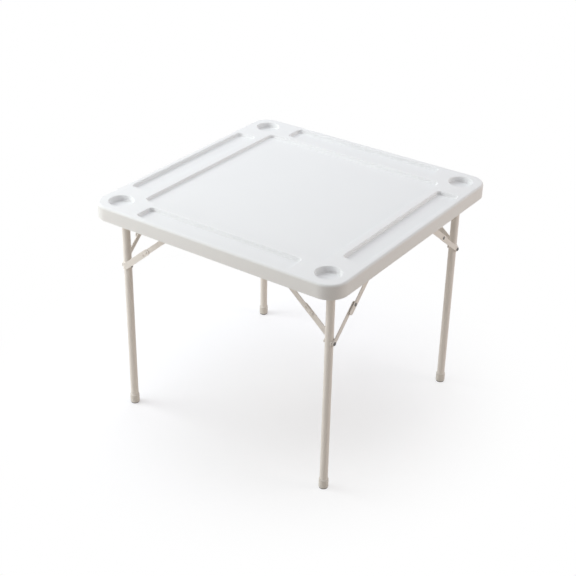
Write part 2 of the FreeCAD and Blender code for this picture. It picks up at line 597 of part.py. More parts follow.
def braces(frame, sign_y):
    """The two folding braces of a leg frame: a lower link, an upper link and an elbow rivet each."""
    reach = S["brace_reach"]
    lift = arm[frame]
    whole = "sqrt(brace_reach^2+%s^2)" % ARM[frame]
    # Folded links lie on each other, the front elbow short of both pivots and the rear one past them.
    lower = "((%s+%d*(brace_reach-%s))/2)" % (whole, sign_y, ARM[frame])
    upper = "((%s-%d*(brace_reach-%s))/2)" % (whole, sign_y, ARM[frame])
    # A strip is turned to lie along Y with its thickness along X, then tipped to the brace's slope.
    flat = turned((0, 0, 1), 90)
    slope = math.degrees(math.atan2(lift, reach))
    up = turned((1, 0, 0), slope if sign_y < 0 else 180 - slope).multiply(flat)
    down = turned((1, 0, 0), 180 + slope if sign_y < 0 else -slope).multiply(flat)
    line = "%d*%s" % (sign_y, LEG_Y)
    pivot = "%d*(%s-brace_reach)" % (sign_y, LEG_Y)
    run = "%s/(%s)" % (lower, whole)
    elbow = ("%s-%d*brace_reach*%s" % (line, sign_y, run), "%s+%s*%s" % (BOLT_Z, ARM[frame], run))
    for name, sign_x in ENDS:
        label = "%s_%s" % (frame, name)
        for part, length, holes, tail, layer, turn, spot in (
                ("lower", lower, (("0", PIVOT_HOLE), (lower, PIVOT_HOLE)),
                 "0", (LOWER_IN, LOWER_OUT), up, (line, BOLT_Z)),
                ("upper", upper, (("0", PIVOT_HOLE), (upper, BOLT_HOLE)),
                 "stop_tab", (UPPER_IN, UPPER_OUT), down, (pivot, HINGE_Z[frame]))):
            link = strip("%s_%s_link" % (label, part), length, part + "_link_width", "link_wall", holes, tail)
            # The thickness runs to one side only, so the base lies on the face that it runs away from.
            facing = turn.multVec(FreeCAD.Vector(0, 1, 0)).x
            edge = layer[1] if sign_x * facing < 0 else layer[0]
            base = ("%d*(%s+%s)" % (sign_x, LEG_X, edge),) + spot
            node(place(link, base, turn), "%s_%s_brace_link" % (label, part))
        collar = rod(label + "_elbow_collar", "elbow_collar", "%s-%s-link_play" % (UPPER_IN, LOWER_OUT),
                     (LOWER_OUT + "+link_play", "0", "0"), "x")
        shank = rod(label + "_elbow_shank", "bolt_diameter", "%s-%s" % (UPPER_OUT, LOWER_OUT) + "-link_play",
                    (LOWER_OUT + "+link_play", "0", "0"), "x")
        head = rod(label + "_elbow_head", "bolt_head", "pin_head_height", (UPPER_OUT, "0", "0"), "x")
        rivet = fuse(label + "_elbow", [collar, shank, head])
        node(place(rivet, ("%d*%s" % (sign_x, LEG_X),) + elbow, TURN_END[sign_x]), label + "_elbow_rivet")


moulded_top()
underframe()
brace_lugs()
for frame_name, frame_sign in FRAMES:
    leg_frame(frame_name, frame_sign)
    braces(frame_name, frame_sign)
doc.recompute()

faults = []
for obj in doc.Objects:
    if "Invalid" in obj.State or "Error" in obj.State:
        faults.append("%s: %s" % (obj.Name, obj.State))
for obj in nodes:
    if obj.Shape.isNull() or not obj.Shape.isValid() or not obj.Shape.Solids:
        faults.append("%s has no sound shape" % obj.Label)
if faults:
    raise RuntimeError("; ".join(faults))

os.makedirs("parts", exist_ok=True)
for obj in nodes:
    obj.Shape.exportStep(os.path.join("parts", obj.Label + ".step"))
    print("%-28s %2d solids %10.0f mm3" % (obj.Label, len(obj.Shape.Solids), obj.Shape.Volume))
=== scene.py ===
"""Looks of the square folding game table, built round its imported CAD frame.

The file is laid out as an add-on: settings, one operator for each group of pieces,
one panel, and a main function that runs the operators in order.
"""

import json
import math

import bmesh
import bpy
import numpy as np
from bpy.props import FloatProperty, FloatVectorProperty, IntProperty, PointerProperty
from bpy.types import Operator, Panel, PropertyGroup
from mathutils import Matrix, Vector


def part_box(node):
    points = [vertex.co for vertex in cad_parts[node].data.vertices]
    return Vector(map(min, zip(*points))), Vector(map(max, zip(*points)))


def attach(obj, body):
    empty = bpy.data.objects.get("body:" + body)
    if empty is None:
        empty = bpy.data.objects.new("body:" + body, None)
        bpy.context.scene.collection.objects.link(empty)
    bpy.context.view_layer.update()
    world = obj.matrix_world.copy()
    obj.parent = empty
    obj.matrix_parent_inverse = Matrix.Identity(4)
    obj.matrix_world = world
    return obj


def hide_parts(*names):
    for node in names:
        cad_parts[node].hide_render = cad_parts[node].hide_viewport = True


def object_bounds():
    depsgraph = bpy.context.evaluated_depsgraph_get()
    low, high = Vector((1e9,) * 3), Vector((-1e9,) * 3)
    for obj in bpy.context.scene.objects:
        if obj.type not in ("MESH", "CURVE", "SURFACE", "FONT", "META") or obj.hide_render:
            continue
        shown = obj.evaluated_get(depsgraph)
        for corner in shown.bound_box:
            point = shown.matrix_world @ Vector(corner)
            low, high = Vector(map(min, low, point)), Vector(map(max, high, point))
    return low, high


bl_info = {
    "name": "Folding Game Table",
    "version": (1, 0, 0),
    "blender": (4, 5, 0),
    "location": "3D View > Sidebar > Game Table",
    "description": "Dresses the packed frame of a folding game table",
    "category": "Object",
}

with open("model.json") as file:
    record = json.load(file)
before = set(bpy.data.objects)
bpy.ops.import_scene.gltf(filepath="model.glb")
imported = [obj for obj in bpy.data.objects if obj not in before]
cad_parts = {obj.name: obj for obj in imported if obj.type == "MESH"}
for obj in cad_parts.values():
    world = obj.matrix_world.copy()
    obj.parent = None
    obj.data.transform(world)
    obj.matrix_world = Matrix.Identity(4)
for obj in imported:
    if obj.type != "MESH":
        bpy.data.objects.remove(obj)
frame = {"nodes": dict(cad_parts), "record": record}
CAD_BOX = [[float(number) for number in corner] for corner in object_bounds()]
FRAMES = ("front", "rear")
SIDES = ("left", "right")
OUTWARDS = {"left": -1.0, "right": 1.0}
X, Y, Z = range(3)

# Meshes: distances in metres and a grid on which corners are one, digits for sorting, angles in degrees.
MERGE_DISTANCE = 1e-6
FINE_MERGE_DISTANCE = 1e-7
GRID_STEPS_PER_METRE = 1e6
SORTING_DIGITS = 5
FLAT_ANGLE = 0.2
CUT_ANGLE = 38
CRISP_ANGLE = 32
TURNED_CRISP_ANGLE = 35

# Rounded edges in metres. Rails are rounded by a multiple of the flat steel's rounding.
TUBE_EDGE = 0.0002
CAP_EDGE = 0.0003
PAD_EDGE = 0.0004
RAIL_EDGE_TIMES = 2

# Finishes: parts of noise and cells in the grain, and the roughness that no mark goes below.
NOISE_PART = 0.6
CELL_PART = 0.4
LEAST_ROUGHNESS = 0.03

# Fasteners: shares of a head's height or width, of a shank's diameter or of a nut's size, and a count.
HEAD_RIM = 0.3
TIP_CHAMFER = 0.12
CROSS_DEPTH = 0.55
CROSS_SPAN = 0.56
SOCKET_DEPTH = 0.6
THREAD_ROOT = 0.88
TIP_POINTS = 3
CROWN_WIDTH = 1.035
CROWN_HEIGHT = 2.1
DRILL_LENGTH = 3.0

# Fasteners: lengths in metres.
THREAD_LENGTH = 0.012
THREAD_PITCH = 0.0008
BOLT_TIP = 0.0006
NUT_PLAY = 0.0002
COLLAR_EASE = 0.0004

# Stage: lamps as (name, setting of their power, diameter, place, colour), what they aim at, and the
# width of the camera's sensor in millimetres.
LAMPS = (
    ("overhead_softbox", "overhead", 3.2, (-0.7, 0.9, 3.2), (0.88, 0.92, 1.0)),
    ("left_softbox", "left_light", 2.2, (-2.7, -1.45, 2.4), (0.96, 1.0, 0.97)),
    ("front_left_softbox", "front_light", 2.2, (-1.8, -3.2, 1.4), (1.0, 1.0, 1.0)),
    ("right_softbox", "right_light", 2.2, (3.2, 1.5, 1.5), (1.0, 0.91, 0.85)),
)
LAMP_TARGET = (0.0, 0.0, 0.6)
SENSOR_WIDTH = 36.0

# Floor: paper that is seen is brighter than white, and turns into the background's white further out.
WHITE = (1.0, 1.0, 1.0, 1.0)
FLOOR_RADIUS = 30.0
PAPER_SEEN = (1.068, 1.08, 1.134, 1.0)
BRIGHTENING = {"From Min": 0.25, "From Max": 0.95, "To Min": 0.30, "To Max": 1.0}
BRIGHTENING_MIDDLE = (-0.12, 0.0, 0.0)


class GAMETABLE_PG_top(PropertyGroup):
    """Finish of the moulded top."""
    colour: FloatVectorProperty(
        name="Plastic colour", description="Colour of the moulded top", subtype="COLOR", size=3,
        min=0.0, max=1.0, default=(0.845, 0.852, 0.862))
    grain_size: FloatProperty(
        name="Grain size", description="Distance between the bumps of the moulded grain", unit="LENGTH",
        min=0.0002, default=0.0011)
    grain_depth: FloatProperty(
        name="Grain depth", description="Height of the bumps of the moulded grain", unit="LENGTH",
        min=0.0, default=0.00003)
    roughness: FloatProperty(
        name="Roughness", description="Mean roughness of the matt surface", subtype="FACTOR",
        min=0.0, max=1.0, default=0.62)


class GAMETABLE_PG_steel(PropertyGroup):
    """Finish of the tubes, straps, links, rails and brackets."""
    coat_colour: FloatVectorProperty(
        name="Coat colour", description="Powder coat of legs, crossbars, straps, struts and links",
        subtype="COLOR", size=3, min=0.0, max=1.0, default=(0.845, 0.812, 0.78))
    bracket_colour: FloatVectorProperty(
        name="Bracket colour", description="Powder coat of rails, bearings and lugs under the top",
        subtype="COLOR", size=3, min=0.0, max=1.0, default=(0.70, 0.69, 0.665))
    peel_size: FloatProperty(
        name="Peel size", description="Distance between the waves of the powder coat", unit="LENGTH",
        min=0.0005, default=0.0026)
    peel_depth: FloatProperty(
        name="Peel depth", description="Height of the waves of the powder coat", unit="LENGTH",
        min=0.0, default=0.00004)
    edge_round: FloatProperty(
        name="Edge rounding", description="Rounding of the cut edges of flat steel", unit="LENGTH",
        min=0.0, default=0.0004)
    bead_width: FloatProperty(
        name="Weld width", description="Width of a weld bead", unit="LENGTH", min=0.0005, default=0.0022)
    bead_pitch: FloatProperty(
        name="Weld pitch", description="Distance between the ripples of a weld bead", unit="LENGTH",
        min=0.0005, default=0.0014)


class GAMETABLE_PG_fasteners(PropertyGroup):
    """Forms and finish of screws, rivets, pins, bolts and nuts."""
    zinc_colour: FloatVectorProperty(
        name="Zinc colour", description="Plating of screws and pins", subtype="COLOR", size=3,
        min=0.0, max=1.0, default=(0.46, 0.455, 0.44))
    dark_colour: FloatVectorProperty(
        name="Bolt colour", description="Dark plating of leg bolts and elbow rivets", subtype="COLOR", size=3,
        min=0.0, max=1.0, default=(0.15, 0.145, 0.14))
    screw_head_height: FloatProperty(
        name="Screw head", description="Height of a screw or rivet head", unit="LENGTH", default=0.0022)
    bolt_head_height: FloatProperty(
        name="Bolt head", description="Height of a leg bolt's head", unit="LENGTH", default=0.003)
    pin_head_height: FloatProperty(
        name="Pin head", description="Height of a pin's or elbow rivet's head", unit="LENGTH", default=0.002)
    screw_shank: FloatProperty(
        name="Screw shank", description="Diameter of a screw's or rivet's shank", unit="LENGTH",
        default=0.004)
    bolt_shank: FloatProperty(
        name="Bolt shank", description="Diameter of a bolt's or pin's shank", unit="LENGTH", default=0.006)
    collar: FloatProperty(
        name="Collar", description="Diameter of an elbow rivet's collar", unit="LENGTH", default=0.009)
    recess_width: FloatProperty(
        name="Recess width", description="Width of an arm of a screw's cross recess", unit="LENGTH",
        default=0.0011)
    socket_width: FloatProperty(
        name="Socket width", description="Leg bolt's hexagon socket across its corners", unit="LENGTH",
        default=0.0046)
    sides: IntProperty(name="Sides", description="Flats round a turned fastener", min=8, default=32)


class GAMETABLE_PG_feet(PropertyGroup):
    """Finish of the foot caps and pads."""
    cap_colour: FloatVectorProperty(
        name="Cap colour", description="Moulded foot caps", subtype="COLOR", size=3,
        min=0.0, max=1.0, default=(0.76, 0.735, 0.70))
    pad_colour: FloatVectorProperty(
        name="Pad colour", description="Rubber pads under the caps", subtype="COLOR", size=3,
        min=0.0, max=1.0, default=(0.20, 0.195, 0.19))


class GAMETABLE_PG_stage(PropertyGroup):
    """Floor, light and camera."""
    floor_colour: FloatVectorProperty(
        name="Floor colour", description="Paper as it throws light back at the table", subtype="COLOR",
        size=3, min=0.0, max=1.0, default=(0.535, 0.47, 0.395))
    room_colour: FloatVectorProperty(
        name="Room colour", description="Soft light of the room round the table", subtype="COLOR", size=3,
        min=0.0, max=1.0, default=(0.355, 0.345, 0.335))
    overhead: FloatProperty(
        name="Overhead light", description="Power of the cool light above", unit="POWER", default=35.0)
    left_light: FloatProperty(
        name="Left light", description="Power of the light on the left", unit="POWER", default=64.0)
    front_light: FloatProperty(
        name="Front left light", description="Power of the light in front on the left", unit="POWER",
        default=31.0)
    right_light: FloatProperty(
        name="Right light", description="Power of the warm light on the right", unit="POWER", default=34.0)
    lens: FloatProperty(name="Lens", description="Focal length on a 36 mm sensor", default=75.9)
    turn: FloatProperty(name="Turn", description="Camera's angle round the table", subtype="ANGLE",
                        default=math.radians(34.74))
    tilt: FloatProperty(name="Tilt", description="Camera's angle above the table", subtype="ANGLE",
                        default=math.radians(29.39))
    roll: FloatProperty(name="Roll", description="Camera's roll", subtype="ANGLE", default=math.radians(1.16))
    reach: FloatVectorProperty(
        name="Reach", description="Camera's place from the middle of the top: right, up and back",
        subtype="XYZ", unit="LENGTH", size=3, default=(-0.0205, -0.2971, 3.711))


def node_tree(name, kind, inputs, outputs):
    """A node group with named sockets, each given as (name, type, default)."""
    tree = bpy.data.node_groups.new(name, kind)
    if kind == "GeometryNodeTree":
        tree.is_modifier = True
    for label, socket, value in inputs:
        item = tree.interface.new_socket(label, in_out="INPUT", socket_type=socket)
        if value is not None:
            item.default_value = value
    for label, socket in outputs:
        tree.interface.new_socket(label, in_out="OUTPUT", socket_type=socket)
    return tree, tree.nodes.new("NodeGroupInput"), tree.nodes.new("NodeGroupOutput")


def pick(sockets, key):
    """The socket of a number, or the one in use of a name that several share."""
    if isinstance(key, int):
        return sockets[key]
    for socket in sockets:
        if socket.name == key and socket.enabled:
            return socket
    raise RuntimeError("no socket in use is named %s" % key)


def feed(tree, item, values):
    """Give a node's inputs sockets to follow or plain values."""
    for key, value in values.items():
        if isinstance(value, bpy.types.NodeSocket):
            tree.links.new(value, pick(item.inputs, key))
        else:
            pick(item.inputs, key).default_value = value


def add(tree, kind, inputs=None, **settings):
    """A node with its settings and its inputs."""
    item = tree.nodes.new(kind)
    for key, value in settings.items():
        setattr(item, key, value)
    feed(tree, item, inputs or {})
    return item


def math_node(tree, operation, *values):
    """The result of a calculation with sockets and plain numbers."""
    return add(tree, "ShaderNodeMath", dict(enumerate(values)), operation=operation).outputs[0]


def seen_directly(tree):
    """One for the rays that see the background: from the camera, or by way of a gloss or of glass."""
    ray = add(tree, "ShaderNodeLightPath").outputs
    shine = math_node(tree, "MAXIMUM", ray["Is Glossy Ray"], ray["Is Transmission Ray"])
    return math_node(tree, "MAXIMUM", ray["Is Camera Ray"], shine)


def grain_group():
    """Fine bumps and a soft change of tone, shared by plastic, paint and rubber."""
    tree, source, sink = node_tree(
        "Fine grain", "ShaderNodeTree",
        (("Vector", "NodeSocketVector", None), ("Fine Scale", "NodeSocketFloat", 900.0),
         ("Cloud Scale", "NodeSocketFloat", 9.0)),
        (("Height", "NodeSocketFloat"), ("Cloud", "NodeSocketFloat"), ("Speck", "NodeSocketFloat")))
    given = source.outputs
    fine = add(tree, "ShaderNodeTexNoise", {"Vector": given["Vector"], "Scale": given["Fine Scale"],
                                            "Detail": 2.0}).outputs["Fac"]
    cell = add(tree, "ShaderNodeTexVoronoi", {"Vector": given["Vector"], "Scale": given["Fine Scale"]})
    cloud = add(tree, "ShaderNodeTexNoise", {"Vector": given["Vector"], "Scale": given["Cloud Scale"],
                                             "Detail": 4.0})
    height = math_node(tree, "ADD", math_node(tree, "MULTIPLY", fine, NOISE_PART),
                       math_node(tree, "MULTIPLY", cell.outputs["Distance"], CELL_PART))
    speck = add(tree, "ShaderNodeMapRange", {"Value": fine, "From Min": 0.62, "From Max": 0.75})
    feed(tree, sink, {"Height": height, "Cloud": cloud.outputs["Fac"], "Speck": speck.outputs["Result"]})
    return tree


def handling_group():
    """Faint wiping marks: long soft streaks that change the gloss."""
    tree, source, sink = node_tree(
        "Handling marks", "ShaderNodeTree",
        (("Vector", "NodeSocketVector", None), ("Scale", "NodeSocketFloat", 6.0),
         ("Stretch", "NodeSocketFloat", 5.0)),
        (("Mark", "NodeSocketFloat"),))
    given = source.outputs
    parts = add(tree, "ShaderNodeSeparateXYZ", {"Vector": given["Vector"]}).outputs
    stretched = add(tree, "ShaderNodeCombineXYZ", {
        "X": parts["X"], "Y": math_node(tree, "DIVIDE", parts["Y"], given["Stretch"]), "Z": parts["Z"]})
    wave = add(tree, "ShaderNodeTexNoise", {"Vector": stretched.outputs["Vector"], "Scale": given["Scale"],
                                            "Detail": 5.0, "Distortion": 0.6})
    mark = add(tree, "ShaderNodeMapRange", {"Value": wave.outputs["Fac"], "From Min": 0.35,
                                            "From Max": 0.70})
    feed(tree, sink, {"Mark": mark.outputs["Result"]})
    return tree


def group_of(name, maker):
    """The node group of that name, made the first time."""
    return bpy.data.node_groups.get(name) or maker()


def opaque(colour):
    return tuple(colour) + (1.0,)


def scaled(colour, share):
    return opaque(min(1.0, part * share) for part in colour)


def finish_material(name, colour, roughness, grain, depth, cloud, tone=0.03, spread=0.08, metal=0.0,
                    shine=0.4, stretch=4.0, speck=None):
    """A procedural finish: grain as bump, tone and gloss that drift over the surface."""
    material = bpy.data.materials.new(name)
    material.use_nodes = True
    tree = material.node_tree
    place = add(tree, "ShaderNodeTexCoord").outputs["Object"]
    fine = add(tree, "ShaderNodeGroup", {"Vector": place, "Fine Scale": 1.0 / grain, "Cloud Scale": cloud},
               node_tree=group_of("Fine grain", grain_group)).outputs
    marks = add(tree, "ShaderNodeGroup", {"Vector": place, "Scale": cloud, "Stretch": stretch},
                node_tree=group_of("Handling marks", handling_group)).outputs
    drift = add(tree, "ShaderNodeMix", {"Factor": fine["Cloud"], "A": scaled(colour, 1.0 - tone),
                                        "B": scaled(colour, 1.0 + tone)}, data_type="RGBA")
    tint = pick(drift.outputs, "Result")
    if speck is not None:
        dots = add(tree, "ShaderNodeMix", {"Factor": fine["Speck"], "A": tint, "B": opaque(speck)},
                   data_type="RGBA")
        tint = pick(dots.outputs, "Result")
    gloss = add(tree, "ShaderNodeMapRange", {
        "Value": marks["Mark"], "To Min": max(LEAST_ROUGHNESS, roughness - spread),
        "To Max": min(1.0, roughness + spread)})
    bump = add(tree, "ShaderNodeBump", {"Height": fine["Height"], "Strength": 1.0, "Distance": depth})
    feed(tree, tree.nodes["Principled BSDF"], {
        "Base Color": tint, "Roughness": gloss.outputs["Result"], "Normal": bump.outputs["Normal"],
        "Metallic": metal, "Specular IOR Level": shine})
    return material


def finish(name):
    """A finish that an earlier step has made."""
    material = bpy.data.materials.get(name)
    if material is None:
        raise RuntimeError("the finish %s is not made yet" % name)
    return material


def body_of(node):
    """The rigid body that holds a CAD node."""
    for body, members in frame["record"]["behaviour"]["bodies"].items():
        if node in members:
            return body
    raise RuntimeError("no body holds %s" % node)


def stands_for(piece, node):
    """Let a piece ride on a CAD node's body and stand for the node."""
    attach(piece, body_of(node))
    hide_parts(node)


def linked(name, data):
    """A new object in the scene."""
    item = bpy.data.objects.new(name, data)
    bpy.context.scene.collection.objects.link(item)
    return item


def new_piece(name, mesh, material):
    """A piece with one finish."""
    mesh.name = name
    mesh.materials.clear()
    mesh.materials.append(material)
    return linked(name, mesh)


def shade(mesh, angle):
    """Smooth shading with edges sharper than the angle left crisp."""
    form = bmesh.new()
    form.from_mesh(mesh)
    for face in form.faces:
        face.smooth = True
    for edge in form.edges:
        edge.smooth = edge.calc_face_angle(0.0) < math.radians(angle)
    form.to_mesh(mesh)
    form.free()


def eased(node, name, material, width):
    """A copy of a CAD node with its cut edges rounded, which stands for the node."""
    form = bmesh.new()
    form.from_mesh(frame["nodes"][node].data)
    bmesh.ops.remove_doubles(form, verts=form.verts, dist=MERGE_DISTANCE)
    # Flat faces are joined first: a bevel turns long thin triangles inside out.
    bmesh.ops.dissolve_limit(form, angle_limit=math.radians(FLAT_ANGLE), verts=form.verts,
                             edges=form.edges)
    mesh = bpy.data.meshes.new(name)
    form.to_mesh(mesh)
    form.free()
    piece = new_piece(name, mesh, material)
    if width > 0.0:
        bevel = piece.modifiers.new("Eased edges", "BEVEL")
        bevel.width = width
        bevel.segments = 2
        bevel.limit_method = "ANGLE"
        bevel.angle_limit = math.radians(CUT_ANGLE)
        settle(piece)
    shade(piece.data, CRISP_ANGLE)
    even = piece.modifiers.new("Even shading", "WEIGHTED_NORMAL")
    even.keep_sharp = True
    even.weight = 100
    settle(piece)
    stands_for(piece, node)


def settle(piece):
    """Make a piece's modifiers part of its mesh."""
    name = piece.data.name
    mesh = flattened(piece)
    old = piece.data
    piece.modifiers.clear()
    piece.data = mesh
    bpy.data.meshes.remove(old)
    mesh.name = name


def flattened(piece):
    """The evaluated mesh of a piece with its modifiers."""
    graph = bpy.context.evaluated_depsgraph_get()
    graph.update()
    return bpy.data.meshes.new_from_object(piece.evaluated_get(graph), depsgraph=graph)


def islands(node):
    """Lowest and highest corner of each separate solid in a CAD node."""
    mesh = frame["nodes"][node].data
    spots = np.array([v.co for v in mesh.vertices], float)
    grid = np.round(spots * GRID_STEPS_PER_METRE).astype(np.int64)
    keys, index = np.unique(grid, axis=0, return_inverse=True)
    index = index.ravel()
    parent = list(range(len(keys)))

    def root(item):
        while parent[item] != item:
            parent[item] = parent[parent[item]]
            item = parent[item]
        return item

    for face in mesh.polygons:
        corners = [root(index[v]) for v in face.vertices]
        for other in corners[1:]:
            parent[root(other)] = root(corners[0])
    groups = {}
    for vertex, key in enumerate(index):
        groups.setdefault(root(key), []).append(vertex)
    boxes = [(Vector(spots[g].min(0)), Vector(spots[g].max(0))) for g in groups.values()]
    return sorted(boxes, key=lambda box: tuple(round(part, SORTING_DIGITS) for part in box[0]))


def measured(node):
    """Boxes of the separate solids of a CAD node, and the three sizes of the first."""
    boxes = islands(node)
    return boxes, [high - low for low, high in zip(*boxes[0])]


def middle(box):
    return (box[0] + box[1]) / 2


def aimed(tree):
    """Rotations that turn Z along each point's axis."""
    axis = add(tree, "GeometryNodeInputNamedAttribute", {"Name": "axis"}, data_type="FLOAT_VECTOR")
    aim = add(tree, "FunctionNodeAlignRotationToVector", {"Vector": axis.outputs["Attribute"]}, axis="Z")
    return aim.outputs["Rotation"]


def set_out(tree, source, sink, placing):
    """Set a form at each point as real geometry in the finish that is asked for."""
    placed = add(tree, "GeometryNodeInstanceOnPoints", placing)
    real = add(tree, "GeometryNodeRealizeInstances", {"Geometry": placed.outputs["Instances"]})
    done = add(tree, "GeometryNodeSetMaterial", {"Geometry": real.outputs["Geometry"],
                                                 "Material": source.outputs["Finish"]})
    feed(tree, sink, {"Geometry": done.outputs["Geometry"]})


def turned_tree():
    """Geometry nodes that turn a profile round its axis and set it at each point, along the point's axis."""
    tree, source, sink = node_tree(
        "Turned fasteners", "GeometryNodeTree",
        (("Geometry", "NodeSocketGeometry", None), ("Profile", "NodeSocketObject", None),
         ("Sides", "NodeSocketInt", 32), ("Recess Corners", "NodeSocketInt", 4),
         ("Recess Width", "NodeSocketFloat", 0.0), ("Recess Depth", "NodeSocketFloat", 0.0),
         ("Cross Span", "NodeSocketFloat", 0.0), ("Seed", "NodeSocketInt", 7),
         ("Finish", "NodeSocketMaterial", None)),
        (("Geometry", "NodeSocketGeometry"),))
    given = source.outputs
    profile = add(tree, "GeometryNodeObjectInfo", {"Object": given["Profile"]}).outputs["Geometry"]
    count = add(tree, "GeometryNodeAttributeDomainSize", {"Geometry": profile}).outputs["Point Count"]
    grid = add(tree, "GeometryNodeMeshGrid", {
        "Size X": 1.0, "Size Y": 1.0, "Vertices X": count,
        "Vertices Y": math_node(tree, "ADD", given["Sides"], 1.0)}).outputs["Mesh"]
    place = add(tree, "GeometryNodeInputPosition").outputs["Position"]
    parts = add(tree, "ShaderNodeSeparateXYZ", {"Vector": place}).outputs
    along = math_node(tree, "ADD", parts["X"], 0.5)
    step = math_node(tree, "MULTIPLY", along, math_node(tree, "SUBTRACT", count, 1.0))
    sample = add(tree, "GeometryNodeSampleIndex", {
        "Geometry": profile, "Value": place, "Index": math_node(tree, "ROUND", step)},
        data_type="FLOAT_VECTOR", domain="POINT")
    spot = add(tree, "ShaderNodeSeparateXYZ", {"Vector": sample.outputs["Value"]}).outputs
    angle = math_node(tree, "MULTIPLY", math_node(tree, "ADD", parts["Y"], 0.5), 2.0 * math.pi)
    ring = add(tree, "ShaderNodeCombineXYZ", {
        "X": math_node(tree, "MULTIPLY", spot["X"], math_node(tree, "COSINE", angle)),
        "Y": math_node(tree, "MULTIPLY", spot["X"], math_node(tree, "SINE", angle)), "Z": spot["Z"]})
    turned = add(tree, "GeometryNodeSetPosition", {"Geometry": grid, "Position": ring.outputs["Vector"]})
    closed = add(tree, "GeometryNodeMergeByDistance", {
        "Geometry": turned.outputs["Geometry"], "Distance": MERGE_DISTANCE}).outputs["Geometry"]
    # The drive recess is a prism, or two crossed slots where a cross span is given.
    deep = math_node(tree, "MULTIPLY", given["Recess Depth"], 2.0)
    prism = add(tree, "GeometryNodeMeshCylinder", {
        "Vertices": given["Recess Corners"], "Depth": deep,
        "Radius": math_node(tree, "MULTIPLY", given["Recess Width"], 0.5)}, fill_type="NGON").outputs["Mesh"]
    cross = add(tree, "GeometryNodeMeshBoolean", operation="UNION", solver="EXACT")
    for first, second in (("X", "Y"), ("Y", "X")):
        size = add(tree, "ShaderNodeCombineXYZ", {
            first: given["Cross Span"], second: given["Recess Width"], "Z": deep}).outputs["Vector"]
        feed(tree, cross, {"Mesh": add(tree, "GeometryNodeMeshCube", {"Size": size}).outputs["Mesh"]})
    is_cross = math_node(tree, "GREATER_THAN", given["Cross Span"], 0.0)
    tool = add(tree, "GeometryNodeSwitch", {"Switch": is_cross, "False": prism,
                                            "True": cross.outputs["Mesh"]}, input_type="GEOMETRY")
    driven = add(tree, "GeometryNodeMeshBoolean", {"Mesh 1": closed, "Mesh 2": tool.outputs["Output"]},
                 operation="DIFFERENCE", solver="EXACT").outputs["Mesh"]
    has_recess = math_node(tree, "GREATER_THAN", given["Recess Depth"], 0.0)
    form = add(tree, "GeometryNodeSwitch", {"Switch": has_recess, "False": closed, "True": driven},
               input_type="GEOMETRY").outputs["Output"]
    # Each fastener has stopped at an angle of its own.
    spin = add(tree, "FunctionNodeRandomValue", {"Min": 0.0, "Max": 2.0 * math.pi, "Seed": given["Seed"]},
               data_type="FLOAT")
    own = add(tree, "FunctionNodeAxisAngleToRotation", {
        "Axis": (0.0, 0.0, 1.0), "Angle": pick(spin.outputs, "Value")}).outputs["Rotation"]
    spun = add(tree, "FunctionNodeRotateRotation", {"Rotation": aimed(tree), "Rotate By": own},
               rotation_space="LOCAL").outputs["Rotation"]
    set_out(tree, source, sink, {"Points": given["Geometry"], "Instance": form, "Rotation": spun})
    return tree


def nut_tree():
    """Geometry nodes for chamfered hexagon nuts, one at each point, along the point's axis."""
    tree, source, sink = node_tree(
        "Hexagon nuts", "GeometryNodeTree",
        (("Geometry", "NodeSocketGeometry", None), ("Corners", "NodeSocketFloat", 0.0115),
         ("Height", "NodeSocketFloat", 0.005), ("Bore", "NodeSocketFloat", 0.0061),
         ("Finish", "NodeSocketMaterial", None)),
        (("Geometry", "NodeSocketGeometry"),))
    given = source.outputs
    radius = math_node(tree, "MULTIPLY", given["Corners"], 0.5)
    hexagon = add(tree, "GeometryNodeMeshCylinder", {"Vertices": 6, "Radius": radius,
                                                     "Depth": given["Height"]}, fill_type="NGON")
    # A flattened ball, a little wider than the corners, cuts the chamfers.
    ball = add(tree, "GeometryNodeMeshUVSphere", {"Segments": 48, "Rings": 24, "Radius": radius})
    tall = math_node(tree, "DIVIDE", given["Height"], given["Corners"])
    stretch = add(tree, "ShaderNodeCombineXYZ", {
        "X": CROWN_WIDTH, "Y": CROWN_WIDTH, "Z": math_node(tree, "MULTIPLY", tall, CROWN_HEIGHT)})
    shell = add(tree, "GeometryNodeTransform", {"Geometry": ball.outputs["Mesh"],
                                                "Scale": stretch.outputs["Vector"]})
    crowned = add(tree, "GeometryNodeMeshBoolean", operation="INTERSECT", solver="EXACT")
    for mesh in (hexagon.outputs["Mesh"], shell.outputs["Geometry"]):
        feed(tree, crowned, {"Mesh": mesh})
    drill = add(tree, "GeometryNodeMeshCylinder", {
        "Vertices": 32, "Radius": math_node(tree, "MULTIPLY", given["Bore"], 0.5),
        "Depth": math_node(tree, "MULTIPLY", given["Height"], DRILL_LENGTH)}, fill_type="NGON")
    bored = add(tree, "GeometryNodeMeshBoolean", {"Mesh 1": crowned.outputs["Mesh"],
                                                  "Mesh 2": drill.outputs["Mesh"]},
                operation="DIFFERENCE", solver="EXACT")
    set_out(tree, source, sink, {"Points": given["Geometry"], "Instance": bored.outputs["Mesh"],
                                 "Rotation": aimed(tree)})
    return tree


